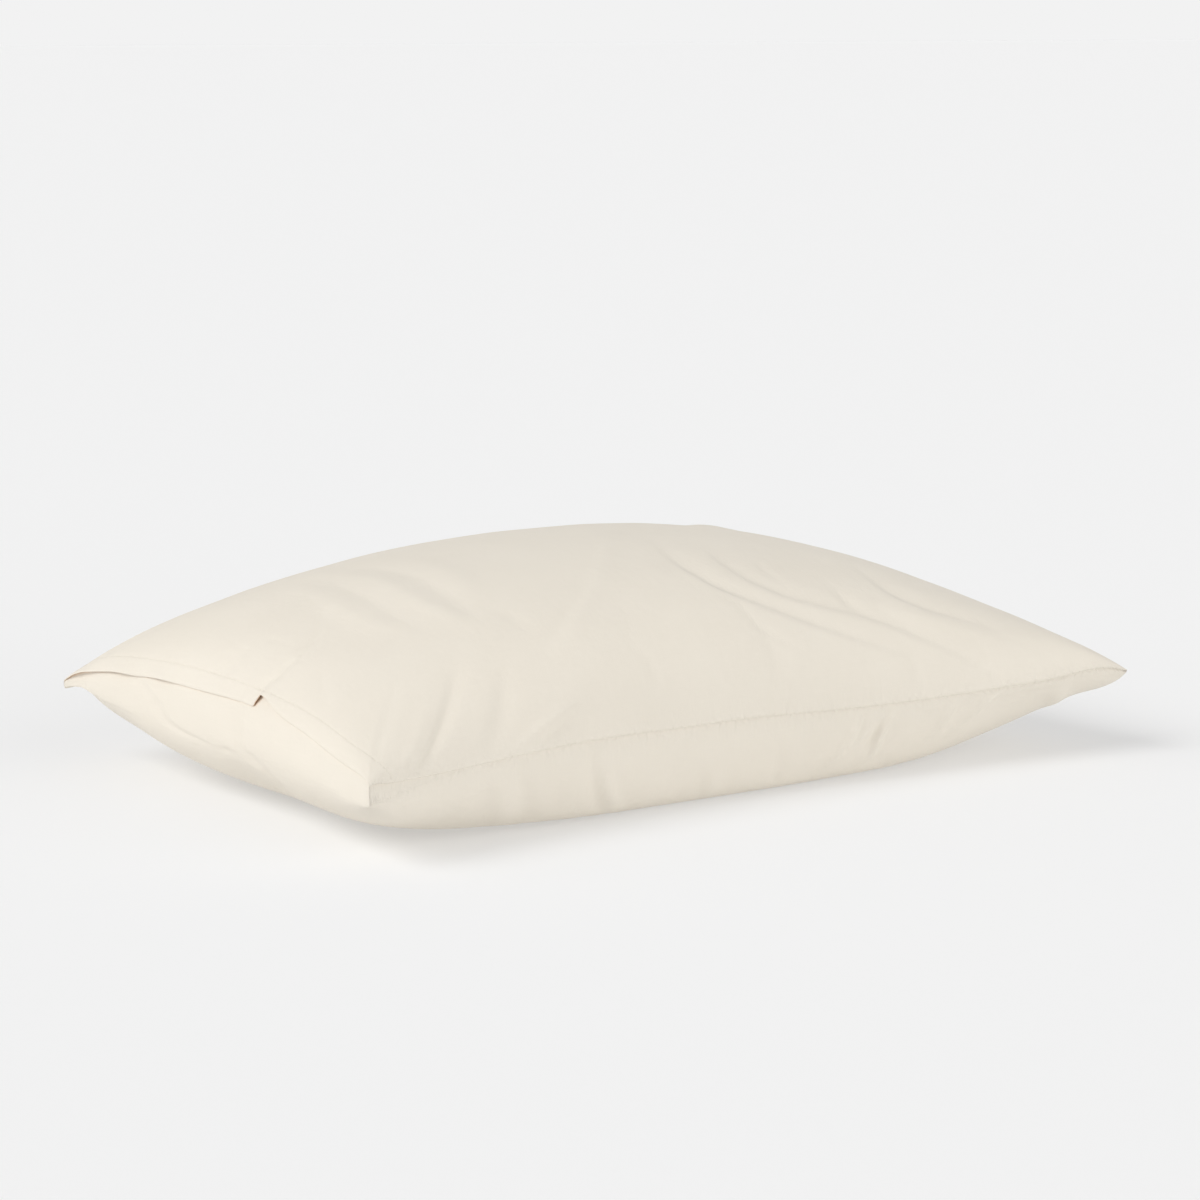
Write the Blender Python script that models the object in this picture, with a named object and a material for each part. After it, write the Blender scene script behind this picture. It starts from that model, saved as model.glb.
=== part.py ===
"""A cream cotton pillowcase, lying flat on its back, filled out by a plump bed pillow.

Two cut pieces make it. The back panel runs from the sewn closed end to the open end, and goes on as a
flap that turns up round the pillow and tucks in. The front panel lies over the pillow and ends in a
free hem over that flap. Side seams join the two.

Metres, +Z up. +X points to the sewn closed end, and -X to the open end with the hem. The origin is on
the floor, under the middle of the case.
"""
from collections import namedtuple

import bpy
import numpy as np

MM = 0.001

# The case as it was cut and sewn, laid flat.
FLAT_LENGTH = 0.750
FLAT_WIDTH = 0.500

# The case as the pillow fills it.
FILLED_LENGTH = 0.717
FILLED_WIDTH = 0.464
SIDE_DRAW = 0.029
OPEN_DRAW = 0.010
CLOSED_DRAW = 0.0235
CROWN_RISE = 0.108
BELLY_DROP = 0.103

# Height of the seam above the floor at each corner, and how far the long edges bow up between them.
CORNER_HEIGHT = {"near_open": 0.0645, "near_closed": 0.068, "far_closed": 0.060, "far_open": 0.0665}
SEAM_BOW = {"near": 0.002, "far": 0.014, "open": 0.002, "closed": 0.002}

# How quickly the crown and the belly fall off towards each edge: 0.5 is a round edge, 1 a wedge.
OPEN_FALL = 0.394
CLOSED_FALL = 0.548
SIDE_FALL = 0.43
CROWN_POWER = 2.07
BELLY_OPEN_FALL = 0.363
BELLY_CLOSED_FALL = 0.389
BELLY_SIDE_FALL = 0.507
BELLY_LENGTH_POWER = 1.50
BELLY_WIDTH_POWER = 3.17
FLOOR_ROLL = 0.012

# The cloth: it is drawn thick enough to be a solid, with the hem turned twice.
CLOTH = 0.0013
HEM_EXTRA = 0.0007
HEM_DEPTH = 0.020
CLOTH_GAP = 0.0003
SEAM_EDGE = 0.0020

# The free hem: its distance in from the open end, and how far further it runs out to the corners.
HEM_INSET = 0.026
HEM_CORNER_RUN = 0.020

# The near corner of the open end stands up as a blunt ear, where the turned flap is bunched. The far
# corner is empty cloth, so crown and belly pinch together there.
EAR_EXTRA = 0.0125
EAR_REACH = 0.095
EAR_POWER = 1.4
EAR_SHIFT = 0.003
PINCH_REACH = 0.038
PINCH = 0.8

# Mesh steps along and across the cloth. The rows stand closer on the creased near side.
FLAP_STEPS = 4
FRONT_STEPS = 52
CROSS_STEPS = 38
NEAR_CROWDING = 0.16
LENGTH_EVENNESS = 0.35
WIDTH_EVENNESS = 0.20
NORMAL_STEP = 0.0015
SHARP_ANGLE = 50

# A crease is a curve of so many points between two places. It fades out over the cloth's own rim, and
# its strength along it is a sine arch, entered this far in from either end and raised to this power.
CREASE_SAMPLES = 9
CREASE_MARGIN = 0.02
CREASE_END = 0.07
CREASE_POWER = 1.1
UNDERSIDE_FADE = 0.012

CREAM = (0.86, 0.80, 0.70, 1.0)
CREAM_SHADE = (0.84, 0.78, 0.67, 1.0)
COTTON_ROUGHNESS = 0.9

# A crease runs on the flat cloth through its places, in millimetres from the middle of the panel: along
# the length, then across the width. A rise below nought is a trough. Lean makes its left side gentler
# than its right, as seen along its path.
Crease = namedtuple("Crease", "half_width rise lean path")

FRONT_CREASES = {
    "corner trough": Crease(9, -4.6, 0.4,
                            ((-221, -154), (-235, -180), (-249, -201), (-264, -223), (-279, -250))),
    "second trough": Crease(10, -3.0, 0.2,
                            ((-190, -168), (-200, -192), (-207, -212), (-216, -232), (-227, -250))),
    "seam ridge": Crease(9, 2.4, 0.0, ((-148, -216), (-170, -227), (-190, -239), (-206, -250))),
    "open end ridge": Crease(9, 1.9, 0.0,
                             ((-220, 66), (-218, 30), (-222, 0), (-228, -58), (-224, -84))),
    "open end trough": Crease(9, -1.9, 0.0,
                              ((-207, 56), (-207, 20), (-211, -42), (-213, -70), (-212, -94))),
    "second ridge": Crease(10, 2.8, 0.0,
                           ((-192, 66), (-188, 30), (-186, 0), (-191, -62), (-184, -110))),
    "third ridge": Crease(11, 1.4, 0.0,
                          ((-140, 44), (-138, 10), (-142, -20), (-150, -55), (-154, -80))),
    "hem fold": Crease(8, -1.3, 0.0,
                       ((-326, -48), (-300, -53), (-266, -43), (-240, -13), (-230, 6))),
    "long pull to the crown": Crease(10, 1.6, 0.0,
                                     ((-152, -156), (-100, -102), (-45, -44), (12, 14))),
    "crown crease": Crease(10, -3.3, 0.5,
                           ((44, -10), (25, -43), (12, -80), (14, -108), (37, -137), (77, -165),
                            (119, -185), (150, -196))),
    "second crown crease": Crease(10, -2.8, 0.5,
                                  ((60, -40), (49, -78), (49, -100), (68, -127), (102, -149),
                                   (120, -157))),
    "closed end crease": Crease(10, -3.0, 0.5,
                                ((118, -118), (124, -145), (138, -169), (162, -189), (193, -210),
                                 (208, -226))),
    "far closed end crease": Crease(10, -2.5, 0.5,
                                    ((172, -86), (169, -119), (178, -139), (198, -157), (222, -171))),
    "faint crease": Crease(8, -1.2, 0.2, ((29, -156), (33, -178), (53, -194), (72, -205))),
    "short seam crease": Crease(8, -1.6, 0.0, ((149, -200), (152, -225), (154, -250))),
    "crown wrinkle": Crease(10, 2.8, 0.0, ((100, 8), (130, 32), (164, 44))),
    "far corner trough": Crease(10, -3.0, 0.3, ((-232, 146), (-262, 190), (-302, 250))),
    "far side trough": Crease(10, -2.2, 0.3, ((-118, 156), (-138, 205), (-178, 250))),
    "far side ridge": Crease(9, 2.0, 0.0, ((-90, 174), (-118, 214), (-152, 250))),
    "far middle crease": Crease(10, -2.4, 0.4, ((16, 116), (66, 176), (96, 250))),
    "far closed crease": Crease(10, -2.6, 0.4, ((146, 92), (190, 160), (266, 218))),
    "closed corner crease": Crease(10, -2.0, 0.3, ((232, 28), (286, 96), (356, 152))),
    "closed end pull": Crease(10, -2.0, 0.3, ((228, -40), (300, -60), (375, -52))),
}

BACK_CREASES = {
    "first side fold": Crease(8, -2.2, 0.2, ((108, -250), (103, -230), (98, -212), (84, -178))),
    "second side fold": Crease(8, -2.2, 0.2, ((139, -250), (126, -226), (121, -204), (122, -178))),
    "third side fold": Crease(8, -1.9, 0.2, ((190, -250), (176, -224), (162, -200))),
    "fourth side fold": Crease(8, -1.9, 0.2, ((216, -250), (196, -224), (180, -196))),
    "middle ridge": Crease(9, 2.4, 0.0, ((-142, -250), (-136, -226), (-124, -200), (-110, -172))),
    "middle trough": Crease(8, -2.6, 0.0, ((-130, -250), (-122, -222), (-110, -192), (-100, -168))),
    "corner ridge": Crease(9, 2.6, 0.0, ((-216, -250), (-208, -218), (-200, -190), (-190, -164))),
    "flap crease": Crease(8, -1.8, 0.0, ((-374, 80), (-364, 60), (-356, 30))),
    "far side fold": Crease(9, -2.4, 0.2, ((-152, 250), (-142, 214), (-126, 176))),
    "far second fold": Crease(9, -2.2, 0.2, ((66, 250), (58, 214), (42, 178))),
    "far third fold": Crease(9, -2.2, 0.2, ((200, 250), (180, 220), (168, 186))),
    "closed end fold": Crease(9, -2.2, 0.2, ((375, -70), (346, -58), (312, -66))),
    "closed end second fold": Crease(9, -2.0, 0.2, ((375, 98), (344, 88), (308, 92))),
}

# The near side seam isn't level. Each row lifts or lowers it in a soft swell.
SeamSwell = namedtuple("SeamSwell", "along half_width rise")
NEAR_SEAM_SWELLS = (
    SeamSwell(-345, 28, 2.0),
    SeamSwell(-240, 45, -1.0),
    SeamSwell(-150, 95, 2.2),
    SeamSwell(-60, 50, -1.0),
    SeamSwell(60, 60, -1.2),
    SeamSwell(145, 95, -5.2),
    SeamSwell(308, 38, 5.0),
)

# Where the underside bulges down (above nought) or is drawn up, below the seams.
BellySwell = namedtuple("BellySwell", "along across reach drop")
BELLY_SWELLS = {
    "near closed corner": BellySwell(335, -212, 38, 4.3),
    "hollow beside it": BellySwell(230, -205, 50, -8.6),
    "near side": BellySwell(110, -205, 55, -1.2),
    "near side, open half": BellySwell(-130, -205, 60, 5.9),
    "by the ear": BellySwell(-250, -205, 50, 2.2),
    "open end, near": BellySwell(-325, -150, 50, -0.9),
    "open end, middle": BellySwell(-325, -40, 55, -7.0),
    "open end, far": BellySwell(-325, 60, 50, -1.8),
    "beside the far corner": BellySwell(-335, 140, 40, -7.1),
    "far open corner": BellySwell(-350, 205, 32, -11.7),
}
BELLY_SWELL_MARGIN = 0.020

# The free hem isn't straight. Each row moves it in along the cloth, in millimetres.
HemWave = namedtuple("HemWave", "across half_width inward")
HEM_WAVES = {
    "kink": HemWave(-84, 20, 8.5),
    "pressed flat": HemWave(-155, 26, -3.0),
    "straight run": HemWave(40, 50, -2.5),
    "beside the arch": HemWave(112, 20, -2.0),
}

# Where the free hem stands off the flap, in millimetres.
HemLift = namedtuple("HemLift", "across half_width rise reach")
HEM_LIFTS = {
    "arch by the far corner": HemLift(186, 32, 4.8, 26),
    "small gape": HemLift(104, 12, 2.0, 14),
    "kink": HemLift(-57, 9, 4.2, 12),
}


def swell(distance, half_width):
    """A soft bump, 1 in its middle."""
    return np.exp(-(distance / half_width) ** 2)


def spread(part, evenness):
    """Turn an even step over the cloth, -1 to 1, into a place across the filled shape."""
    angle = np.pi / 2 * (part - evenness * np.sin(np.pi * part) / np.pi)
    return np.sin(angle)


def edge_mix(u, v, values):
    """Blend a value given at the four corners over the whole panel."""
    near = (1 - u) * values["near_open"] + (1 + u) * values["near_closed"]
    far = (1 - u) * values["far_open"] + (1 + u) * values["far_closed"]
    return ((1 - v) * near + (1 + v) * far) / 4


def seam_level(along, u, v):
    """Height of the side seams and ends, carried on over the panel."""
    level = edge_mix(u, v, CORNER_HEIGHT)
    level = level + (1 - u ** 2) * ((1 - v) * SEAM_BOW["near"] + (1 + v) * SEAM_BOW["far"]) / 2
    level = level + (1 - v ** 2) * ((1 - u) * SEAM_BOW["open"] + (1 + u) * SEAM_BOW["closed"]) / 2
    nearness = ((1 - v) / 2) ** 2
    for row in NEAR_SEAM_SWELLS:
        level = level + nearness * row.rise * MM * swell(along - row.along * MM, row.half_width * MM)
    return level


def fall_off(place, power, fall):
    """1 in the middle and nought at the edge, round or wedge-like."""
    return np.clip(1 - np.abs(place) ** power, 0, 1) ** fall


def rest_on_floor(height):
    """Flatten what would sink below the floor, with a soft roll at its rim."""
    rolled = (height + FLOOR_ROLL) ** 2 / (4 * FLOOR_ROLL)
    return np.where(height > FLOOR_ROLL, height, np.where(height < -FLOOR_ROLL, 0.0, rolled))


def ear(x, y):
    """1 at the near open corner, falling to nought where the ear ends."""
    away = np.hypot(x + FILLED_LENGTH / 2, y + FILLED_WIDTH / 2)
    return np.clip(1 - away / EAR_REACH, 0, 1) ** EAR_POWER


def belly_swells(along, across):
    """How much further down the underside bulges than its plain form."""
    from_end = FLAT_LENGTH / 2 - np.abs(along)
    from_side = FLAT_WIDTH / 2 - np.abs(across)
    drop = np.zeros_like(along)
    for row in BELLY_SWELLS.values():
        away = np.hypot(along - row.along * MM, across - row.across * MM)
        drop += row.drop * MM * swell(away, row.reach * MM)
    return drop * np.clip(np.minimum(from_end, from_side) / BELLY_SWELL_MARGIN, 0, 1)


def plain_form(along, across, side):
    """Points of the filled case without creases, for places on the flat cloth."""
    u = spread(along / (FLAT_LENGTH / 2), LENGTH_EVENNESS)
    v = spread(across / (FLAT_WIDTH / 2), WIDTH_EVENNESS)
    end_draw = np.where(u < 0, OPEN_DRAW, -CLOSED_DRAW)
    x = u * FILLED_LENGTH / 2 + end_draw * (1 - v ** 2) * np.abs(u) ** 3
    y = v * FILLED_WIDTH / 2 - np.sign(v) * SIDE_DRAW * (1 - u ** 2) * np.abs(v) ** 3
    level = seam_level(along, u, v)
    closed_share = (1 + u) / 2
    if side == "front":
        end_fall = OPEN_FALL + (CLOSED_FALL - OPEN_FALL) * closed_share
        crown = fall_off(u, CROWN_POWER, end_fall) * fall_off(v, CROWN_POWER, SIDE_FALL)
        corner_away = np.hypot(along + FLAT_LENGTH / 2, across - FLAT_WIDTH / 2)
        z = level + CROWN_RISE * crown * (1 - PINCH * swell(corner_away, PINCH_REACH))
    else:
        end_fall = BELLY_OPEN_FALL + (BELLY_CLOSED_FALL - BELLY_OPEN_FALL) * closed_share
        belly = fall_off(u, BELLY_LENGTH_POWER, end_fall) * fall_off(v, BELLY_WIDTH_POWER, BELLY_SIDE_FALL)
        edge = SEAM_EDGE + EAR_EXTRA * ear(x, y)
        z = rest_on_floor(level - edge - BELLY_DROP * belly - belly_swells(along, across))
    return np.stack([x + EAR_SHIFT * ear(x, y), y, z], axis=-1)


def outward(along, across, side):
    """Unit normals of the plain form."""
    half_length = FLAT_LENGTH / 2
    half_width = FLAT_WIDTH / 2
    back_step = np.maximum(along - NORMAL_STEP, -half_length)
    fore_step = np.minimum(along + NORMAL_STEP, half_length)
    near_step = np.maximum(across - NORMAL_STEP, -half_width)
    far_step = np.minimum(across + NORMAL_STEP, half_width)
    lengthwise = plain_form(fore_step, across, side) - plain_form(back_step, across, side)
    crosswise = plain_form(along, far_step, side) - plain_form(along, near_step, side)
    normal = np.cross(lengthwise, crosswise)
    if side == "back":
        normal = -normal
    return normal / np.linalg.norm(normal, axis=-1, keepdims=True)


def crease_line(path):
    """A smooth (Catmull-Rom) curve through the places of a crease, and how far along it each point is."""
    knots = np.array(path, float) * MM
    knots = np.concatenate([[2 * knots[0] - knots[1]], knots, [2 * knots[-1] - knots[-2]]])
    share = np.linspace(0, 1, CREASE_SAMPLES, endpoint=False)[:, None]
    runs = []
    for a, b, c, d in zip(knots, knots[1:], knots[2:], knots[3:]):
        curve = share ** 2 * (a - 2.5 * b + 2 * c - d / 2) + share ** 3 * (1.5 * b - 1.5 * c + (d - a) / 2)
        runs.append(b + share * (c - a) / 2 + curve)
    line = np.concatenate(runs + [knots[-2:-1]])
    return line, np.linspace(0, 1, len(line))


def crease_rise(along, across, rows):
    """Height that the creases add to the cloth, each fading out at its two ends."""
    rise = np.zeros_like(along)
    for row in rows.values():
        line, done = crease_line(row.path)
        beside = along[..., None] - line[:, 0]
        beyond = across[..., None] - line[:, 1]
        nearest = np.hypot(beside, beyond).argmin(axis=-1)
        heading = np.gradient(line, axis=0)[nearest]
        beside = np.take_along_axis(beside, nearest[..., None], axis=-1)[..., 0]
        beyond = np.take_along_axis(beyond, nearest[..., None], axis=-1)[..., 0]
        on_left = heading[..., 0] * beyond - heading[..., 1] * beside > 0
        half_width = row.half_width * MM * np.where(on_left, 1 + row.lean, 1 - row.lean / 2)
        strength = np.sin(np.pi * (CREASE_END + (1 - 2 * CREASE_END) * done[nearest])) ** CREASE_POWER
        rise += row.rise * MM * strength * swell(np.hypot(beside, beyond), half_width)
    return rise


def creased_form(along, across, side):
    """Points of the case with its creases. The underside stays level where it meets the floor."""
    points = plain_form(along, across, side)
    rows = FRONT_CREASES if side == "front" else BACK_CREASES
    normal = outward(along, across, side)
    inside = 1 - np.maximum(np.abs(along) / (FLAT_LENGTH / 2), np.abs(across) / (FLAT_WIDTH / 2))
    hold = np.clip(inside / CREASE_MARGIN, 0, 1)
    if side == "back":
        hold = hold * np.clip(points[..., 2] / UNDERSIDE_FADE, 0, 1)
    points = points + normal * (hold * crease_rise(along, across, rows))[..., None]
    points[..., 2] = np.maximum(points[..., 2], 0.0)
    return points


def hem_place(across):
    """Where the free hem lies along the cloth, for each place across it."""
    outward_run = HEM_CORNER_RUN * np.abs(across / (FLAT_WIDTH / 2)) ** 3
    place = -FLAT_LENGTH / 2 + HEM_INSET - outward_run
    for row in HEM_WAVES.values():
        place = place + row.inward * MM * swell(across - row.across * MM, row.half_width * MM)
    return place


def cloth_grid():
    """Places on the flat cloth: columns from the open end, over the hem, to the closed end."""
    row_step = np.linspace(-1, 1, CROSS_STEPS + 1)
    across = FLAT_WIDTH / 2 * (row_step - NEAR_CROWDING * (1 - row_step ** 2))
    hem = hem_place(across)
    flap_share = np.linspace(0, 1, FLAP_STEPS + 1)[:-1, None]
    front_share = np.linspace(0, 1, FRONT_STEPS + 1)[:, None]
    flap = -FLAT_LENGTH / 2 * (1 - flap_share) + hem * flap_share
    front = hem * (1 - front_share) + FLAT_LENGTH / 2 * front_share
    along = np.concatenate([flap, front])
    return along, np.broadcast_to(across, along.shape)


def hem_lift(along, across):
    """How far the front panel stands off the flap near its free hem."""
    behind = along - hem_place(across)
    lift = np.zeros_like(along)
    for row in HEM_LIFTS.values():
        fade = np.exp(-behind / (row.reach * MM))
        lift += row.rise * MM * swell(across - row.across * MM, row.half_width * MM) * fade
    return lift


def sheet_thickness(along, across):
    """The front panel's thickness, more where the hem is turned twice."""
    behind = along - hem_place(across)
    return CLOTH + HEM_EXTRA * np.clip(1.5 - behind / HEM_DEPTH, 0, 1)


def closed_loft(upper, lower):
    """Vertices and triangles of a solid between two matching grids, joined round their rim."""
    columns, rows = upper.shape[:2]
    upper_id = np.arange(columns * rows).reshape(columns, rows)
    lower_id = upper_id + columns * rows
    triangles = []
    for i in range(columns - 1):
        for j in range(rows - 1):
            a, b, c, d = (i, j), (i + 1, j), (i + 1, j + 1), (i, j + 1)
            triangles.append((upper_id[a], upper_id[b], upper_id[c]))
            triangles.append((upper_id[a], upper_id[c], upper_id[d]))
            triangles.append((lower_id[a], lower_id[c], lower_id[b]))
            triangles.append((lower_id[a], lower_id[d], lower_id[c]))
    rim = [(i, 0) for i in range(columns - 1)]
    rim += [(columns - 1, j) for j in range(rows - 1)]
    rim += [(i, rows - 1) for i in range(columns - 1, 0, -1)]
    rim += [(0, j) for j in range(rows - 1, 0, -1)]
    for here, after in zip(rim, rim[1:] + rim[:1]):
        triangles.append((lower_id[here], lower_id[after], upper_id[after]))
        triangles.append((lower_id[here], upper_id[after], upper_id[here]))
    vertices = np.concatenate([upper.reshape(-1, 3), lower.reshape(-1, 3)])
    return vertices, [tuple(int(index) for index in face) for face in triangles]


def cotton(name, colour):
    """A matt cotton finish."""
    material = bpy.data.materials.new(name)
    material.use_nodes = True
    shader = material.node_tree.nodes["Principled BSDF"]
    shader.inputs["Base Color"].default_value = colour
    shader.inputs["Roughness"].default_value = COTTON_ROUGHNESS
    shader.inputs["Metallic"].default_value = 0.0
    return material


def add_piece(name, vertices, triangles, material, collection):
    """One named object for one piece of cloth, shaded smooth."""
    mesh = bpy.data.meshes.new(name)
    mesh.from_pydata(vertices.tolist(), [], triangles)
    mesh.materials.append(material)
    mesh.shade_smooth()
    mesh.set_sharp_from_angle(angle=np.radians(SHARP_ANGLE))
    piece = bpy.data.objects.new(name, mesh)
    collection.objects.link(piece)
    return piece


def filled_back(along, across):
    """The back panel with its flap, closed over the pillow that it holds."""
    upper = creased_form(along, across, "front")
    lower = creased_form(along, across, "back")
    return closed_loft(upper, lower)


def front_sheet(along, across):
    """The front panel, from the free hem to the closed end, lying over the filled back."""
    along = along[FLAP_STEPS:]
    across = across[FLAP_STEPS:]
    body = creased_form(along, across, "front")
    normal = outward(along, across, "front")
    inner = CLOTH_GAP + hem_lift(along, across)
    outer = inner + sheet_thickness(along, across)
    return closed_loft(body + normal * outer[..., None], body + normal * inner[..., None])


def build():
    for thing in list(bpy.data.objects):
        bpy.data.objects.remove(thing, do_unlink=True)
    collection = bpy.data.collections.new("pillowcase")
    bpy.context.scene.collection.children.link(collection)

    along, across = cloth_grid()
    back_vertices, back_triangles = filled_back(along, across)
    front_vertices, front_triangles = front_sheet(along, across)

    everything = np.concatenate([back_vertices, front_vertices])
    middle = (everything.min(axis=0) + everything.max(axis=0)) / 2
    to_origin = np.array([-middle[0], -middle[1], 0.0])

    add_piece("back_panel", back_vertices + to_origin, back_triangles,
              cotton("back_cotton", CREAM_SHADE), collection)
    add_piece("front_panel", front_vertices + to_origin, front_triangles,
              cotton("front_cotton", CREAM), collection)


build()
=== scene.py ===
# %% [markdown]
# # A cotton pillowcase on a plump pillow
#
# The real thing is two pieces of cream cotton percale. The back panel runs on past the open end as a
# flap that turns up round the pillow and tucks in. The front panel lies over the pillow and ends in a
# free, twice-turned hem. Side seams join them. This notebook builds the cloth that you see, round the
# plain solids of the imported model, which stay in place for collision and weight.

import bpy
import numpy as np
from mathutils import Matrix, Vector


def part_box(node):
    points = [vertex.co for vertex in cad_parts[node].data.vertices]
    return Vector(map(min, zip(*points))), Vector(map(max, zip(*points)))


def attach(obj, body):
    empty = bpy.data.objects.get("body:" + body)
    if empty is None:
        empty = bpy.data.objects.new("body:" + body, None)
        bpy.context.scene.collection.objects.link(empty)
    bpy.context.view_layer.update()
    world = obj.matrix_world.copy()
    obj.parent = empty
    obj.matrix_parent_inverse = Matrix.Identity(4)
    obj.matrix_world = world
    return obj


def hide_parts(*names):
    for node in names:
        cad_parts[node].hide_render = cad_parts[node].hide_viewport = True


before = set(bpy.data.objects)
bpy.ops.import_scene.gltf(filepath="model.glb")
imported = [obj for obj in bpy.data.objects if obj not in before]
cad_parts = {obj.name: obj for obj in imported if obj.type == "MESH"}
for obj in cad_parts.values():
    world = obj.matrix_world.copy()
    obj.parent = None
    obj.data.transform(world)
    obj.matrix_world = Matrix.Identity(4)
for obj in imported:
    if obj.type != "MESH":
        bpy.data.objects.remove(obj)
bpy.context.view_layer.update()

MM = 0.001
scene = bpy.context.scene

# %% [markdown]
# ## Camera
#
# The case is seen from a low height, past its near open corner, through a long lens from nearly three
# metres. A long lens keeps the far edge almost as large as the near one. The camera is placed by its
# angle to the case and by the pixel where the middle of the case falls, in a frame 1200 pixels wide.
# Moving the camera does that without any lens shift.

# %% Place the camera
FRAME_PIXELS = 1200
CAMERA_AZIMUTH = -34.94
CAMERA_ELEVATION = 9.76
CAMERA_DISTANCE = 2.759
LENS = 102
SENSOR = 36
AIM_HEIGHT = 0.05
AIM_PIXEL = (596.4, 697.5)


def new_object(name, data):
    made = bpy.data.objects.new(name, data)
    scene.collection.objects.link(made)
    return made


def towards(azimuth, elevation):
    """The direction in which a place at these angles lies. Azimuth 0 is the -Y side."""
    a, e = np.radians(azimuth), np.radians(elevation)
    return Vector((np.sin(a) * np.cos(e), -np.cos(a) * np.cos(e), np.sin(e)))


def place_camera():
    back = towards(CAMERA_AZIMUTH, CAMERA_ELEVATION)
    right = Vector((np.cos(np.radians(CAMERA_AZIMUTH)), np.sin(np.radians(CAMERA_AZIMUTH)), 0))
    up = back.cross(right)
    pixel = CAMERA_DISTANCE * SENSOR / LENS / FRAME_PIXELS
    aside = (AIM_PIXEL[0] - FRAME_PIXELS / 2) * pixel
    below = (AIM_PIXEL[1] - FRAME_PIXELS / 2) * pixel
    lens = bpy.data.cameras.new("camera")
    lens.lens = LENS
    lens.sensor_width = SENSOR
    camera = new_object("camera", lens)
    camera.location = Vector((0, 0, AIM_HEIGHT)) + back * CAMERA_DISTANCE - right * aside + up * below
    camera.rotation_mode = "QUATERNION"
    camera.rotation_quaternion = (-back).to_track_quat("-Z", "Y")
    scene.camera = camera
    return camera


camera = place_camera()
print("camera at", [round(value, 3) for value in camera.location])

# %% [markdown]
# ## The filled shape
#
# Every place on the case is named by where it lies on the flat, cut cloth: so far along, so far across.
# Along runs from the closed end of the front, at +375 mm, to the open end, at -375 mm. There it goes on
# round the pillow without a break, as the back panel does with its flap, and comes back along the
# underside to -1125 mm, which is the closed end again.

# %% Sizes of the flat and the filled case
FLAT_LENGTH = 0.750
FLAT_WIDTH = 0.500
FILLED_LENGTH = 0.717
FILLED_WIDTH = 0.464
half_length = FLAT_LENGTH / 2
half_width = FLAT_WIDTH / 2


def folded(unrolled):
    """The place along the panel, also for the underside and the flap."""
    return np.where(unrolled < -half_length, -FLAT_LENGTH - unrolled, unrolled)


print("flat", FLAT_LENGTH, "x", FLAT_WIDTH, "m, filled", FILLED_LENGTH, "x", FILLED_WIDTH, "m")

# %% [markdown]
# ## The sewn edge
#
# The seams of a filled case don't lie in one plane. They climb and fall between the four corners, bow
# between them, and swell where the pillow pushes. So the height of the sewn edge comes first, and the
# crown and the belly are set above and below it. Each swell has its middle, its reach and its rise.

# %% Height of the sewn edge
CORNER_HEIGHT = {"near_open": 0.0645, "near_closed": 0.068, "far_closed": 0.060, "far_open": 0.0665}
SEAM_BOW = {"near": 0.002, "far": 0.014, "open": 0.002, "closed": 0.002}
NEAR_SEAM_SWELLS = ((-345, 28, 2.0), (-240, 45, -1.0), (-150, 95, 2.2), (-60, 50, -1.0), (60, 60, -1.2),
                    (145, 95, -5.2), (308, 38, 5.0))


def swell(distance, half_reach):
    return np.exp(-(distance / half_reach) ** 2)


def ramp(distance, run):
    """0 at the start and before it, 1 from the end of the run on."""
    return np.clip(distance / run, 0, 1)


def seam_level(along, u, v):
    near = (1 - u) * CORNER_HEIGHT["near_open"] + (1 + u) * CORNER_HEIGHT["near_closed"]
    far = (1 - u) * CORNER_HEIGHT["far_open"] + (1 + u) * CORNER_HEIGHT["far_closed"]
    level = ((1 - v) * near + (1 + v) * far) / 4
    level = level + (1 - u ** 2) * ((1 - v) * SEAM_BOW["near"] + (1 + v) * SEAM_BOW["far"]) / 2
    level = level + (1 - v ** 2) * ((1 - u) * SEAM_BOW["open"] + (1 + u) * SEAM_BOW["closed"]) / 2
    for middle, half_reach, rise in NEAR_SEAM_SWELLS:
        level = level + ((1 - v) / 2) ** 2 * rise * MM * swell(along - middle * MM, half_reach * MM)
    return level


print("near seam's middle", round(float(seam_level(0.0, 0.0, -1.0)), 4), "m high")

# %% [markdown]
# ## The belly
#
# Below the seams the pillow's weight presses the case on to the floor. The belly rolls on to it with a
# soft bend. Swells and hollows shape its sides, as uneven as real ones. Each row holds where its middle
# lies, its reach and how far it goes down, in millimetres.

# %% The belly and the floor
BELLY_SWELLS = {
    "near closed corner": (335, -212, 38, 4.3),
    "hollow beside it": (230, -205, 50, -8.6),
    "near side": (110, -205, 55, -1.2),
    "near side, open half": (-130, -205, 60, 5.9),
    "by the ear": (-250, -205, 50, 2.2),
    "open end, near": (-325, -150, 50, -0.9),
    "open end, middle": (-325, -40, 55, -7.0),
    "open end, far": (-325, 60, 50, -1.8),
    "beside the far corner": (-335, 140, 40, -7.1),
    "far open corner": (-350, 205, 32, -11.7),
}
BELLY_SWELL_MARGIN = 0.020
FLOOR_ROLL = 0.012


def rest_on_floor(height):
    rolled = (height + FLOOR_ROLL) ** 2 / (4 * FLOOR_ROLL)
    return np.where(height > FLOOR_ROLL, height, np.where(height < -FLOOR_ROLL, 0.0, rolled))


def belly_swells(along, across):
    rim = np.minimum(half_length - np.abs(along), half_width - np.abs(across))
    drop = np.zeros_like(along)
    for along_middle, across_middle, reach, amount in BELLY_SWELLS.values():
        away = np.hypot(along - along_middle * MM, across - across_middle * MM)
        drop += amount * MM * swell(away, reach * MM)
    return drop * ramp(rim, BELLY_SWELL_MARGIN)


print(len(BELLY_SWELLS), "swells and hollows in the belly")

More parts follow.
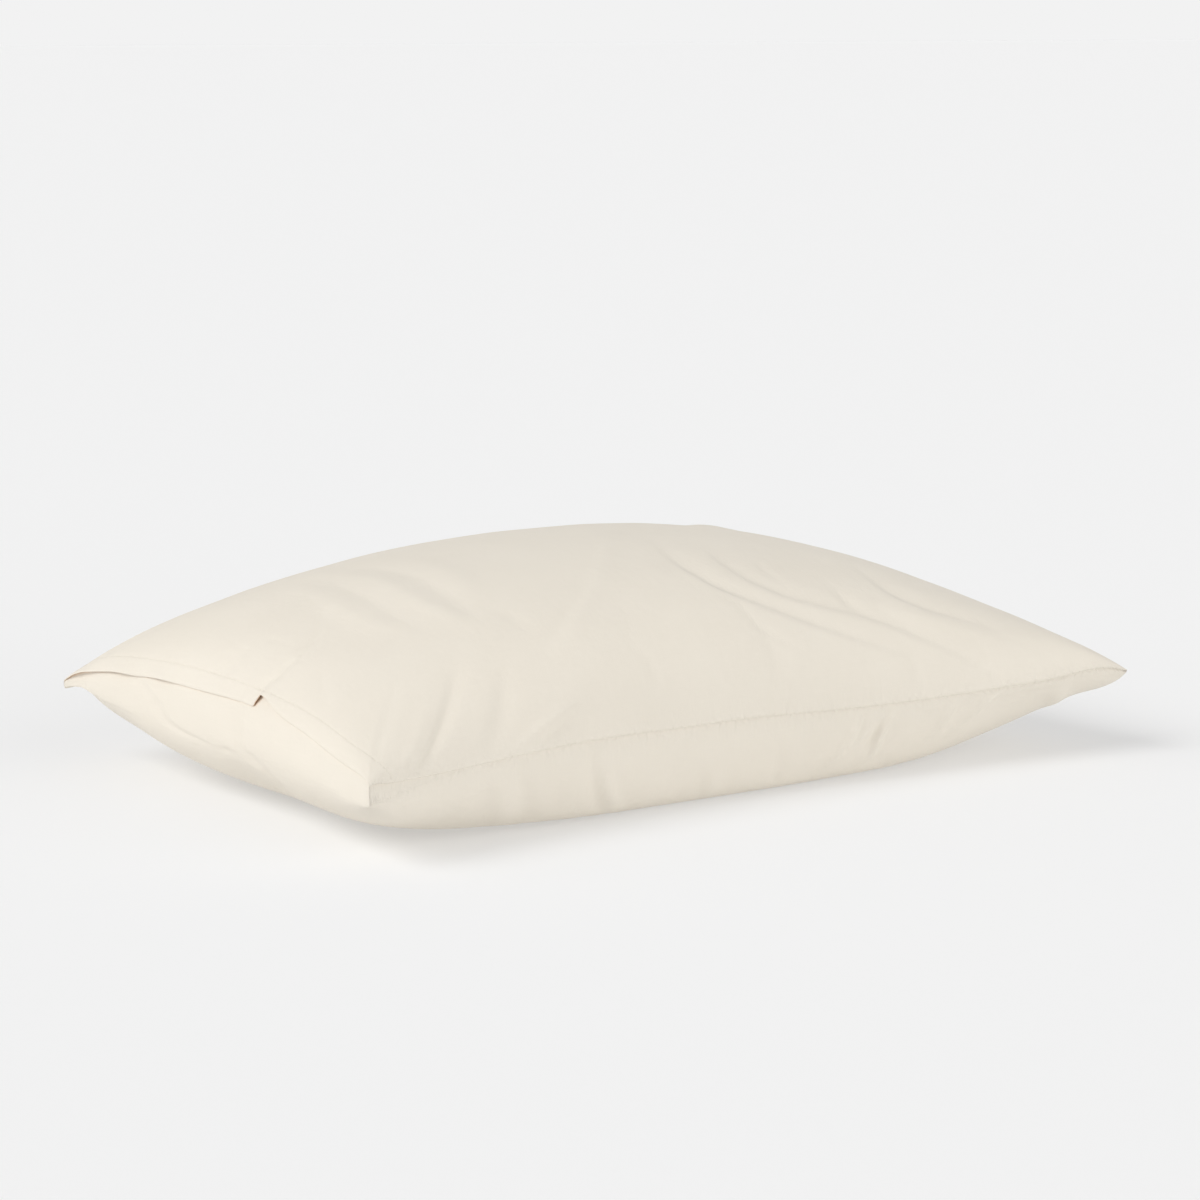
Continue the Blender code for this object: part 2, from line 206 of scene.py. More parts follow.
# %% [markdown]
# ## The whole form
#
# The edge of a pillow is drawn in between its corners, because the cloth has to go up and over. The
# crown is a power curve that falls steeply to the sewn edge. The near open corner is turned into an
# ear. These are the rules that the solids were made with, worked out on a finer grid here.

# %% Bend the flat cloth into the filled form
SIDE_DRAW = 0.029
OPEN_DRAW = 0.010
CLOSED_DRAW = 0.0235
DRAW_POWER = 3
CROWN_RISE = 0.108
BELLY_DROP = 0.103
OPEN_FALL = 0.394
CLOSED_FALL = 0.548
SIDE_FALL = 0.43
CROWN_POWER = 2.07
BELLY_OPEN_FALL = 0.363
BELLY_CLOSED_FALL = 0.389
BELLY_SIDE_FALL = 0.507
BELLY_LENGTH_POWER = 1.50
BELLY_WIDTH_POWER = 3.17
SEAM_EDGE = 0.0010
EAR_EXTRA = 0.0125
EAR_REACH = 0.095
EAR_POWER = 1.4
EAR_TURN = 0.014
EAR_SHIFT = 0.003
FAR_EAR = 0.0050
FAR_EAR_REACH = 0.022
FAR_EAR_SHIFT = -0.0035
CLOSED_TIP_REACH = 0.060
CLOSED_TIP_SHIFT = 0.0065
LENGTH_EVENNESS = 0.35
WIDTH_EVENNESS = 0.20
NORMAL_STEP = 0.0015
PINCH_REACH = 0.038
PINCH = 0.8
NO_LENGTH = 1e-12


def spread(part, evenness):
    return np.sin(np.pi / 2 * (part - evenness * np.sin(np.pi * part) / np.pi))


def fall_off(place, power, fall):
    return np.clip(1 - np.abs(place) ** power, 0, 1) ** fall


def near_corner(x, y, end, side, reach):
    """How close a place is to one corner: 1 at it, 0 beyond the reach."""
    away = np.hypot(x - end * FILLED_LENGTH / 2, y - side * FILLED_WIDTH / 2)
    return 1 - ramp(away, reach)


def plain_form(unrolled, across):
    under = unrolled < -half_length
    along = folded(unrolled)
    u = spread(along / half_length, LENGTH_EVENNESS)
    v = spread(across / half_width, WIDTH_EVENNESS)
    end_draw = np.where(u < 0, OPEN_DRAW, -CLOSED_DRAW)
    x = u * FILLED_LENGTH / 2 + end_draw * (1 - v ** 2) * np.abs(u) ** DRAW_POWER
    y = v * FILLED_WIDTH / 2 - np.sign(v) * SIDE_DRAW * (1 - u ** 2) * np.abs(v) ** DRAW_POWER
    ear = near_corner(x, y, -1, -1, EAR_REACH) ** EAR_POWER
    far_ear = near_corner(x, y, -1, 1, FAR_EAR_REACH)
    tip = near_corner(x, y, 1, -1, CLOSED_TIP_REACH) ** 2
    x = x + EAR_SHIFT * ear + FAR_EAR_SHIFT * far_ear + CLOSED_TIP_SHIFT * tip
    level = seam_level(along, u, v)
    pinch = 1 - PINCH * swell(np.hypot(along + half_length, across - half_width), PINCH_REACH)
    closed_share = (1 + u) / 2
    end_fall = OPEN_FALL + (CLOSED_FALL - OPEN_FALL) * closed_share
    crown = pinch * fall_off(u, CROWN_POWER, end_fall) * fall_off(v, CROWN_POWER, SIDE_FALL)
    end_fall = BELLY_OPEN_FALL + (BELLY_CLOSED_FALL - BELLY_OPEN_FALL) * closed_share
    belly = fall_off(u, BELLY_LENGTH_POWER, end_fall) * fall_off(v, BELLY_WIDTH_POWER, BELLY_SIDE_FALL)
    turned = ramp(-half_length - unrolled, EAR_TURN)
    edge = (SEAM_EDGE + EAR_EXTRA * ear + FAR_EAR * far_ear) * turned * (2 - turned)
    lower = rest_on_floor(level - edge - BELLY_DROP * belly - belly_swells(along, across))
    return np.stack([x, y, np.where(under, lower, level + CROWN_RISE * crown)], axis=-1)


def outward(unrolled, across):
    fore = plain_form(np.minimum(unrolled + NORMAL_STEP, half_length), across)
    behind = plain_form(np.maximum(unrolled - NORMAL_STEP, -3 * half_length), across)
    far = plain_form(unrolled, np.minimum(across + NORMAL_STEP, half_width))
    near = plain_form(unrolled, np.maximum(across - NORMAL_STEP, -half_width))
    normal = np.cross(fore - behind, far - near)
    return normal / np.maximum(np.linalg.norm(normal, axis=-1, keepdims=True), NO_LENGTH)


top = plain_form(np.zeros(1), np.zeros(1))[0]
print("crown height", round(float(top[2]), 4))

# %% [markdown]
# ## Creases listed one by one
#
# Cotton percale is crisp: where the flat cloth has more length than the filled shape needs, it buckles
# in soft troughs and ridges that run from the seams and corners towards the crown. Each row below is
# one of them, in millimetres on the flat cloth: half its width, its rise (below nought for a trough),
# how much gentler its left side is than its right, and then the places that it passes, each of them
# along and across.

# %% The crease rows
FRONT_CREASES = {
    "corner trough": (5, -2.2, 0.5, -222, -156, -232, -172, -248, -196, -264, -218, -280, -240,
        -284, -250),
    "corner shoulder": (7, 0.8, 0.0, -240, -160, -260, -188, -282, -216, -300, -240),
    "second trough": (8, -1.5, 0.2, -190, -168, -200, -192, -207, -212, -218, -232, -229, -250),
    "seam ridge": (6, 2.0, 0.0, -148, -216, -170, -227, -190, -239, -206, -250),
    "seam trough": (5, -1.4, 0.0, -150, -230, -168, -238, -184, -248),
    "short corner trough": (4, -0.8, 0.3, -287, -222, -290, -236, -294, -250),
    "open end ridge": (8, 1.8, 0.0, -222, 66, -222, 30, -226, 0, -231, -30, -232, -58, -226, -84),
    "open end trough": (6, -1.6, 0.0, -204, 62, -208, 20, -211, -10, -214, -42, -216, -70, -214, -98),
    "second ridge": (8, 2.6, 0.0, -194, 70, -191, 30, -190, 0, -194, -32, -195, -62, -192, -90,
        -188, -112),
    "second ridge trough": (7, -1.9, 0.0, -180, 62, -173, 20, -172, -20, -176, -52, -178, -84,
        -180, -104),
    "third ridge": (10, 1.5, 0.0, -154, 48, -152, 10, -152, -20, -158, -55, -160, -80),
    "hem fold": (4.5, -1.2, 0.3, -326, -48, -300, -53, -284, -51, -266, -43, -252, -31, -240, -13,
        -230, 6),
    "hem hollow": (6, -1.1, 0.2, -320, -116, -306, -100, -296, -92, -284, -84),
    "short hem crease": (4, -0.7, 0.0, -286, 4, -281, -15, -282, -36),
    "low hollow": (7, -1.0, 0.0, -262, -110, -240, -98, -222, -84),
    "small crease": (5, -0.8, 0.0, -165, -98, -160, -118, -158, -138),
    "long pull to the crown": (8, 1.7, -0.2, -148, -164, -122, -138, -94, -110, -66, -80, -40, -52,
        -10, -20, 16, 8),
    "beside the long pull": (5, -1.4, 0.0, -158, -162, -140, -144, -118, -124, -92, -104, -56, -66,
        -22, -30, 10, -6),
    "crown crease": (7, -3.0, 0.8, 30, -34, 16, -66, 12, -94, 19, -120, 42, -144, 76, -168, 104, -184,
        134, -200, 160, -212),
    "second crown crease": (7, -2.8, 0.8, 60, -60, 52, -84, 54, -112, 72, -135, 98, -150, 122, -160,
        146, -174, 166, -190, 184, -205, 204, -228),
    "branching crease": (4.5, -1.6, 0.6, 121, -132, 123, -148, 132, -164),
    "lit band": (9, 1.3, 0.0, 148, -150, 176, -168, 206, -184, 236, -200),
    "far closed end crease": (7, -2.6, 0.8, 172, -92, 169, -115, 171, -136, 185, -153, 206, -166,
        232, -180),
    "faint crease": (4, -0.6, 0.4, 22, -150, 27, -172, 45, -190, 66, -205),
    "crown side crease": (5, -0.8, 0.0, 84, -84, 80, -104, 82, -128),
    "short seam crease": (4, -0.6, 0.2, 149, -200, 152, -225, 154, -250),
    "second short crease": (4, -0.7, 0.2, 204, -226, 212, -238, 218, -248),
    "third short crease": (4, -0.4, 0.0, -86, -188, -82, -216),
    "crown wrinkle": (9, 2.6, 0.0, 100, 8, 130, 32, 164, 44),
    "far corner trough": (8, -3.0, 0.3, -232, 146, -262, 190, -302, 250),
    "far side trough": (9, -2.2, 0.3, -118, 156, -138, 205, -178, 250),
    "far side ridge": (8, 2.0, 0.0, -90, 174, -118, 214, -152, 250),
    "far middle crease": (8, -2.4, 0.4, 16, 116, 66, 176, 96, 250),
    "far closed crease": (8, -2.6, 0.4, 146, 92, 190, 160, 266, 218),
    "closed corner crease": (8, -2.0, 0.3, 232, 28, 286, 96, 356, 152),
    "closed end pull": (9, -2.0, 0.3, 228, -40, 300, -60, 375, -52),
}
BACK_CREASES = {
    "first side fold": (3.5, 2.5, 0.0, 104, -248, 102, -234, 96, -216, 86, -200, 78, -184),
    "second side fold": (3.5, 2.5, 0.0, 116, -248, 114, -234, 108, -222, 100, -210, 88, -198),
    "side fold between": (3.2, -2.2, 0.0, 128, -238, 122, -228, 118, -218, 110, -206),
    "third side fold": (3.5, 2.5, 0.0, 140, -250, 131, -236, 124, -220, 122, -202, 116, -184),
    "fourth side fold": (3.5, 2.2, 0.0, 186, -246, 179, -228, 175, -214, 166, -198),
    "fifth side fold": (3.5, 2.5, 0.0, 218, -250, 212, -238, 205, -222, 194, -208, 182, -196),
    "closed corner fold": (9, 2.2, 0.0, 270, -246, 272, -220, 285, -190, 308, -168),
    "small side fold": (5, -1.3, 0.2, 30, -228, 36, -200, 44, -176),
    "near floor swell": (7, 1.3, 0.0, -30, -212, -26, -196, -20, -180),
    "middle ridge": (6, 2.4, 0.0, -134, -244, -130, -226, -120, -202, -108, -180),
    "middle trough": (5, -2.4, 0.2, -142, -250, -138, -226, -130, -200, -118, -176),
    "small ridge": (6, 1.2, 0.0, -34, -214, -28, -190, -18, -166),
    "corner ridge": (9, 2.6, 0.0, -216, -250, -208, -218, -200, -190, -190, -164),
    "corner trough": (6, -1.6, 0.0, -199, -246, -190, -214, -182, -184),
    "far side fold": (7, -2.4, 0.3, -152, 250, -142, 214, -126, 176),
    "far second fold": (7, -2.2, 0.3, 66, 250, 58, 214, 42, 178),
    "far third fold": (7, -2.2, 0.3, 200, 250, 180, 220, 168, 186),
    "closed end fold": (7, -2.2, 0.3, 375, -70, 346, -58, 312, -66),
    "closed end second fold": (7, -2.0, 0.3, 375, 98, 344, 88, 308, 92),
}
FLAP_CREASES = {
    "flap crease": (5, -1.9, -0.4, -348, 114, -362, 98, -374, 80, -386, 60, -392, 30, -396, 8),
    "flap dimple": (5, -1.0, 0.0, -404, 6, -396, -6, -404, -20),
    "nose fold": (7, 1.2, 0.0, -366, -20, -372, -70, -380, -130),
}
print(len(FRONT_CREASES), "creases on the front,", len(BACK_CREASES), "on the back,", len(FLAP_CREASES),
      "on the flap")

# %% [markdown]
# ## From a row to a crease
#
# A smooth curve through the places makes the crease's line. Every place on the cloth finds the nearest
# point of that line, and rises by a soft bell of its distance. A crease fades towards both ends, as
# cloth does where the strain runs out.

# %% Draw the creases
CREASE_STEPS = 14
CREASE_MARGIN = 4
CREASE_END = 0.07
CREASE_POWER = 1.1


def smooth_path(places):
    """A Catmull-Rom curve through the places."""
    knots = np.array(places, float).reshape(-1, 2) * MM
    knots = np.concatenate([[2 * knots[0] - knots[1]], knots, [2 * knots[-1] - knots[-2]]])
    share = np.linspace(0, 1, CREASE_STEPS, endpoint=False)[:, None]
    runs = []
    for a, b, c, d in zip(knots, knots[1:], knots[2:], knots[3:]):
        runs.append(b + share * (c - a) / 2 + share ** 2 * (a - 2.5 * b + 2 * c - d / 2)
                    + share ** 3 * (1.5 * b - 1.5 * c + (d - a) / 2))
    return np.concatenate(runs + [knots[-2:-1]])


def crease_rise(along, across, rows):
    flat = np.stack([along.ravel(), across.ravel()], axis=-1)
    rise = np.zeros(len(flat))
    for half_reach, height, lean, *places in rows.values():
        line = smooth_path(places)
        done = np.linspace(0, 1, len(line))
        margin = CREASE_MARGIN * half_reach * MM
        inside = (flat > line.min(0) - margin) & (flat < line.max(0) + margin)
        close = np.flatnonzero(np.all(inside, axis=1))
        gap = flat[close, None, :] - line
        distance = np.hypot(gap[..., 0], gap[..., 1])
        nearest = distance.argmin(axis=1)
        heading = np.gradient(line, axis=0)[nearest]
        offset = gap[np.arange(len(nearest)), nearest]
        left = heading[:, 0] * offset[:, 1] - heading[:, 1] * offset[:, 0]
        width = np.where(left > 0, 1 + lean, 1 - 0.5 * lean) * half_reach * MM
        strength = np.sin(np.pi * (CREASE_END + (1 - 2 * CREASE_END) * done[nearest])) ** CREASE_POWER
        rise[close] += height * MM * strength * swell(distance.min(axis=1), width)
    return rise.reshape(along.shape)


flat_sample = np.meshgrid(np.linspace(-half_length, half_length, 200),
                          np.linspace(-half_width, half_width, 130))
deepest = np.abs(crease_rise(*flat_sample, FRONT_CREASES)).max()
print("front creases", round(float(deepest / MM), 2), "mm at most")

# %% [markdown]
# ## The hem
#
# The free hem is turned twice and topstitched about 20 mm in. Between the edge and the stitching the
# cloth is three layers thick. It hugs the flap, except where it gapes: in a long arch by the far
# corner, in a small lip beside that, and at a sharp little kink, where the edge is drawn in and stands
# up. The stitching keeps its own, straighter line. Each row holds the middle across the cloth, its
# reach to the near and to the far side, and how much it does, in millimetres. A lift also has how far
# in it goes.

# %% Where the hem lies and lifts
HEM_INSET = 0.026
HEM_CORNER_RUN = 0.020
HEM_CORNER_POWER = 3
HEM_WAVES = {
    "kink": (-49, 24, 3.5, 13),
    "pressed flat": (-165, 45, 45, -7),
    "straight run": (40, 50, 50, -2.5),
    "beside the arch": (112, 20, 20, -2),
}
STITCH_PLACE = -0.331
STITCH_WAVES = {
    "at the near seam": (-250, 38, 38, 17),
    "by the near seam": (-165, 30, 30, -3),
    "at the far seam": (250, 40, 40, 9),
}
HEM_LIFTS = {
    "arch, far end": (190, 26, 30, 4.0, 9),
    "arch, near end": (128, 15, 26, 3.0, 12),
    "small gape": (76, 15, 15, 2.8, 7),
    "kink": (-49, 26, 5.0, 3.4, 8),
    "slight gape": (10, 22, 22, 0.5, 6),
}


def lopsided(across, middle, near_reach, far_reach):
    away = across - middle * MM
    return swell(away, np.where(away < 0, near_reach, far_reach) * MM)


def waved(place, waves, across):
    for middle, near_reach, far_reach, onward in waves.values():
        place = place + onward * MM * lopsided(across, middle, near_reach, far_reach)
    return place


def hem_place(across):
    place = -half_length + HEM_INSET - HEM_CORNER_RUN * np.abs(across / half_width) ** HEM_CORNER_POWER
    return waved(place, HEM_WAVES, across)


def stitch_place(across):
    return waved(np.full_like(across, STITCH_PLACE), STITCH_WAVES, across)


def hem_lift(along, across):
    behind = along - hem_place(across)
    lift = np.zeros_like(along)
    for middle, near_reach, far_reach, rise, depth in HEM_LIFTS.values():
        there = lopsided(across, middle, near_reach, far_reach)
        lift += rise * MM * there * np.exp(-behind / (depth * MM))
    return lift


hem_sample = np.linspace(-half_width, half_width, 500)
lift_sample = hem_lift(hem_place(hem_sample), hem_sample)
print("hem gapes by", round(float(lift_sample.max() / MM), 1), "mm at most")

# %% [markdown]
# ## Fine crumpling
#
# Washed cotton is never quite smooth between its creases. Random values on coarse grids, read with a
# smooth curve, give low dents. Where such a field passes through nought, its size makes a fine,
# wandering fold, like those that are left in cloth that was pressed while still a little damp.

# %% Smooth random fields over the cloth
DENTS = ((41, 34, 0.24), (23, 19, 0.13))
WANDERING_FOLDS = ((58, 40, 0.50), (34, 27, 0.28))
CRUMPLE_SEED = 11
FOLD_CREST = 0.35
FOLD_COVER = 0.6


def cubic_weights(share):
    return np.stack([
        -0.5 * share + share ** 2 - 0.5 * share ** 3,
        1 - 2.5 * share ** 2 + 1.5 * share ** 3,
        0.5 * share + 2 * share ** 2 - 1.5 * share ** 3,
        -0.5 * share ** 2 + 0.5 * share ** 3,
    ])


def read_grid(values, unrolled, across):
    """Read a grid that covers the whole cloth anywhere, with smooth curves between its places."""
    field = np.pad(values, ((1, 2), (1, 2), (0, 0)), mode="edge")
    columns, rows = values.shape[:2]
    column = (unrolled + 3 * half_length) / (4 * half_length) * (columns - 1)
    row = (across / half_width + 1) / 2 * (rows - 1)
    i = np.clip(np.floor(column).astype(int), 0, columns - 2)
    j = np.clip(np.floor(row).astype(int), 0, rows - 2)
    along_weights = cubic_weights(column - i)
    across_weights = cubic_weights(row - j)
    total = np.zeros(unrolled.shape + values.shape[2:])
    for p in range(4):
        for q in range(4):
            total += (along_weights[p] * across_weights[q])[..., None] * field[i + p, j + q]
    return total


def random_field(unrolled, across, size_along, size_across, generator):
    columns = int(4 * half_length / (size_along * MM)) + 1
    rows = int(2 * half_width / (size_across * MM)) + 1
    return read_grid(generator.uniform(-1, 1, (columns, rows, 1)), unrolled, across)[..., 0]


def crumple(unrolled, across):
    generator = np.random.default_rng(CRUMPLE_SEED)
    rise = np.zeros_like(unrolled)
    for size_along, size_across, height in DENTS:
        rise += height * MM * random_field(unrolled, across, size_along, size_across, generator)
    for size_along, size_across, height in WANDERING_FOLDS:
        bend = random_field(unrolled, across, size_along, size_across, generator)
        where = random_field(unrolled, across, size_along * 2, size_across * 2, generator)
        rise += height * MM * (FOLD_CREST - np.abs(bend)) * np.clip(FOLD_COVER + where, 0, 1)
    return rise


print("crumple", round(float(np.abs(crumple(*flat_sample)).max() / MM), 2), "mm at most")

# %% [markdown]
# ## The creased surface
#
# Creases and crumpling move the form along its own outward direction. They fade out at the seams, which
# are sewn flat, and at the floor, which presses the underside level.

# %% Put the creases on the form
CLOSED_END_FADE = 0.006
OPEN_END_FADE = 0.012
SIDE_FADE = 0.004
FLOOR_FADE = 0.012


def above_floor(points):
    points[..., 2] = np.maximum(points[..., 2], 0.0)
    return points


def creased(unrolled, across):
    points = plain_form(unrolled, across)
    under = unrolled < -half_length
    along = folded(unrolled)
    rise = crease_rise(unrolled, across, FRONT_CREASES) * ~under
    rise = rise + crease_rise(along, across, BACK_CREASES) * under
    rise = rise * ramp(half_length - along, CLOSED_END_FADE) * ramp(along + half_length, OPEN_END_FADE)
    rise = rise + crease_rise(unrolled, across, FLAP_CREASES) + crumple(unrolled, across)
    rise = rise * ramp(half_width - np.abs(across), SIDE_FADE)
    rise = np.where(under, rise * ramp(points[..., 2], FLOOR_FADE), rise)
    return above_floor(points + outward(unrolled, across) * rise[..., None])


print("creased crown", creased(np.zeros(1), np.zeros(1))[0].round(4))

# %% [markdown]
# ## Where the cloth is loose
#
# The listed creases look too even by themselves, so the cloth is also let settle over the pillow. Most
# of it is pulled almost taut. A table says where it is loose: each place's middle along and across, its
# reach in millimetres and how slack it is.

# %% The slack places
SLACK_PLACES = {
    "near side": (-20, -190, 260, 0.04),
    "hem": (-330, 20, 90, 0.40),
    "far open corner": (-330, 200, 70, 0.6),
    "open end of the crown": (-210, 0, 90, 0.30),
    "far side": (0, 200, 120, 0.6),
    "far closed corner": (290, 180, 90, 0.6),
    "closed end": (330, 0, 90, 0.5),
    "flap": (-400, -40, 90, 0.22),
    "near side folds": (-890, -215, 60, 0.35),
    "near side middle": (-640, -215, 80, 0.35),
    "near side by the corner": (-520, -215, 50, 0.35),
    "far side below": (-750, 215, 160, 0.6),
    "closed end below": (-1080, 0, 120, 0.6),
}


def slackness(unrolled, across):
    slack = np.zeros_like(unrolled)
    for along_middle, across_middle, reach, strength in SLACK_PLACES.values():
        away = np.hypot(unrolled - along_middle * MM, across - across_middle * MM)
        slack = np.maximum(slack, strength * swell(away, reach * MM))
    return slack


print("slack over", round(float((slackness(*flat_sample) > 0.1).mean() * 100)), "% of the front")

# %% [markdown]
# ## Letting the cloth settle
#
# The whole case is made as one closed cloth, a little too large for its form. It is blown up softly
# from inside with its seams and its underside held, and let go for a few frames, so it buckles as real
# cotton does. Only the fine part of the movement is kept: the broad swelling is taken out again, so
# that the case keeps its outline. The same frames always give the same cloth.

# %% Simulate the closed case
SETTLE_COLUMNS = 150
SETTLE_ROWS = 104
SETTLE_FRAMES = 22
SETTLE_CAP = 0.004
SETTLE_SHARE = 0.85
TAUT_SHARE = 0.25
FULL_SLACK = 0.4
BROAD_PASSES = 45
HELD_HEIGHT = 0.002
NO_MOVEMENT = 1e-9
CLOTH_SETTINGS = {
    "quality": 6, "mass": 0.15, "tension_stiffness": 25, "compression_stiffness": 25,
    "shear_stiffness": 8, "bending_stiffness": 0.25, "tension_damping": 12, "compression_damping": 12,
    "vertex_group_mass": "held", "vertex_group_shrink": "slack", "shrink_min": -0.004,
    "shrink_max": -0.030, "use_pressure": True, "uniform_pressure_force": 4,
}


def new_mesh(name, points, faces):
    mesh = bpy.data.meshes.new(name)
    faces = [tuple(int(corner) for corner in face) for face in faces]
    mesh.from_pydata(points.reshape(-1, 3).tolist(), [], faces)
    return mesh


def quad(ids, i, j):
    return ids[i, j], ids[i + 1, j], ids[i + 1, j + 1], ids[i, j + 1]


def wrapped_faces(shape):
    """Faces of the case: one long grid folded round the open end and sewn along its other edges."""
    columns, rows = shape
    ids = np.arange(columns * rows).reshape(shape)
    fold = columns // 2
    faces = [quad(ids, i, j) for i in range(columns - 1) for j in range(rows - 1)]
    faces.append((ids[fold, 0], ids[fold - 1, 0], ids[fold + 1, 0]))
    faces.append((ids[fold, -1], ids[fold + 1, -1], ids[fold - 1, -1]))
    for k in range(1, fold):
        under, over = fold - k, fold + k
        faces.append((ids[under, 0], ids[under - 1, 0], ids[over + 1, 0], ids[over, 0]))
        faces.append((ids[over, -1], ids[over + 1, -1], ids[under - 1, -1], ids[under, -1]))
    for j in range(rows - 1):
        faces.append((ids[0, j], ids[0, j + 1], ids[-1, j + 1], ids[-1, j]))
    return faces


def smooth_grid(field, passes):
    for _ in range(passes):
        padded = np.pad(field, ((1, 1), (1, 1), (0, 0)), mode="edge")
        rows = padded[:, :-2] * 0.25 + padded[:, 1:-1] * 0.5 + padded[:, 2:] * 0.25
        field = rows[:-2] * 0.25 + rows[1:-1] * 0.5 + rows[2:] * 0.25
    return field


def settle():
    unrolled, across = np.meshgrid(np.linspace(-3 * half_length, half_length, 2 * SETTLE_COLUMNS - 1),
                                   np.linspace(-half_width, half_width, SETTLE_ROWS), indexing="ij")
    start = creased(unrolled, across)
    case = new_object("settling", new_mesh("settling", start, wrapped_faces(start.shape[:2])))
    held = start[..., 2] < HELD_HEIGHT
    held[[0, -1], :] = True
    held[:, [0, -1]] = True
    pin = case.vertex_groups.new(name="held")
    pin.add([int(index) for index in np.flatnonzero(held)], 1.0, "REPLACE")
    loose = case.vertex_groups.new(name="slack")
    for index, share in enumerate(slackness(unrolled, across).ravel()):
        loose.add([index], float(share), "REPLACE")
    modifier = case.modifiers.new("cloth", "CLOTH")
    cloth = modifier.settings
    for name, value in CLOTH_SETTINGS.items():
        setattr(cloth, name, value)
    cloth.effector_weights.gravity = 0
    modifier.collision_settings.use_collision = False
    modifier.point_cache.frame_start = 1
    modifier.point_cache.frame_end = SETTLE_FRAMES
    for number in range(1, SETTLE_FRAMES + 1):
        scene.frame_set(number)
    result = case.evaluated_get(bpy.context.evaluated_depsgraph_get())
    moved = np.empty(start.size)
    result.data.vertices.foreach_get("co", moved)
    scene.frame_set(1)
    bpy.data.objects.remove(case, do_unlink=True)
    shift = moved.reshape(start.shape) - start
    looseness = np.minimum(slackness(unrolled, across) / FULL_SLACK, 1)
    kept = SETTLE_SHARE * (TAUT_SHARE + (1 - TAUT_SHARE) * looseness)
    fine = (shift - smooth_grid(shift, BROAD_PASSES)) * kept[..., None]
    size = np.linalg.norm(fine, axis=-1, keepdims=True)
    print("settled: all", round(float(np.abs(shift).max() / MM), 1), "mm, fine",
          round(float(size.max() / MM), 1), "mm, typical", round(float(size.mean() / MM), 2), "mm")
    return fine * np.minimum(1, SETTLE_CAP / np.maximum(size, NO_MOVEMENT))


SETTLED = settle()

# %% [markdown]
# ## Reading the settled cloth
#
# The movement is kept on a coarse grid over the flat cloth. The panels and the stitching all read it
# there, with the same smooth curves as the crumpling, so they move alike.

# %% Read the settled movement anywhere on the cloth


def settled_shift(unrolled, across):
    if SETTLED is None:
        return np.zeros(unrolled.shape + (3,))
    return read_grid(SETTLED, unrolled, across)


def case_surface(unrolled, across):
    """The finished surface of the case: form, creases and the settled cloth."""
    return above_floor(creased(unrolled, across) + settled_shift(unrolled, across))


print("settled crown", case_surface(np.zeros(1), np.zeros(1))[0].round(4))

# %% [markdown]
# ## From functions to meshes
#
# Each panel is a fine grid of places on the flat cloth, which is denser towards the seams. The mesh
# keeps those flat places as its UV map, in metres, so the weave lies straight along the panel however
# the cloth bends.

# %% Helpers that make the meshes
RIM_STEPS = np.array([0.0005, 0.0011])


def crowded(count, crowding, extra=()):
    """Steps from -1 to 1 that stand closer towards both ends, with some extra ones."""
    step = np.linspace(-1, 1, count + 1)
    return np.unique(np.concatenate([step + crowding * np.sin(np.pi * step) / np.pi, extra]))


def rim_steps(half_size):
    return np.concatenate([1 - RIM_STEPS / half_size, RIM_STEPS / half_size - 1])


def seam_distance(along, across):
    return np.minimum(half_width - np.abs(across), half_length - along)


def add_mesh(name, points, faces, flat_places):
    mesh = new_mesh(name, points, faces)
    layer = mesh.uv_layers.new(name="UVMap")
    corners = np.empty(len(mesh.loops), dtype=np.int32)
    mesh.loops.foreach_get("vertex_index", corners)
    layer.data.foreach_set("uv", flat_places.reshape(-1, 2)[corners].astype(np.float32).ravel())
    mesh.shade_smooth()
    return new_object(name, mesh)


def add_value(mesh, name, values):
    attribute = mesh.attributes.new(name, "FLOAT", "POINT")
    attribute.data.foreach_set("value", values.astype(np.float32).ravel())


# The solids are centred on their own box, so the form is moved by the same amount.
cad_middle = (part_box("back_panel")[0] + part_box("back_panel")[1]) / 2
TO_ORIGIN = np.array([cad_middle[0], cad_middle[1], 0.0])
print("form moved by", TO_ORIGIN.round(5))

# %% [markdown]
# ## The back panel and its flap
#
# This is the padded body: the underside, the sides below the seams, and the flap that rounds the open
# end. It goes on under the front panel, where it only has to follow the same form, a little below it.
# The grid gets extra columns where narrow folds hang from the near seam.

# %% Build the padded back
BACK_COLUMNS = 226
BACK_ROWS = 140
BACK_CROWDING = 0.35
FOLD_COLUMNS = np.arange(66, 238, 1.8) * MM
BACK_SINK = 0.0025
SINK_START = 0.004
SINK_RUN = 0.030
SINK_SEAM_RUN = 0.010
SEAM_FOLD = 0.00015
SEAM_FOLD_REACH = 0.0006
SEAM_FOLD_RUN = 0.020
CORNER_TUCK = 0.0012
CORNER_TUCK_PLACE = 0.003
GAP_DEPTH = 0.0035
PAINTED_SHADE_RUN = 0.003


def flatten_seam(mesh, points, flat):
    """Lay the strip between the two rims flat, as cloth that goes on past the underside's edge."""
    columns, rows = flat.shape[:2]
    places = mesh.uv_layers["UVMap"].data
    for face in mesh.polygons[(columns - 1) * (rows - 1):]:
        for corner in face.loop_indices:
            column, row = divmod(mesh.loops[corner].vertex_index, rows)
            below = min(column, columns - 1 - column)
            u, v = flat[below, row]
            height = np.linalg.norm(points[column, row] - points[below, row])
            if below == 0:
                places[corner].uv = (u - height, v)
            else:
                places[corner].uv = (u, v + np.copysign(height, v))


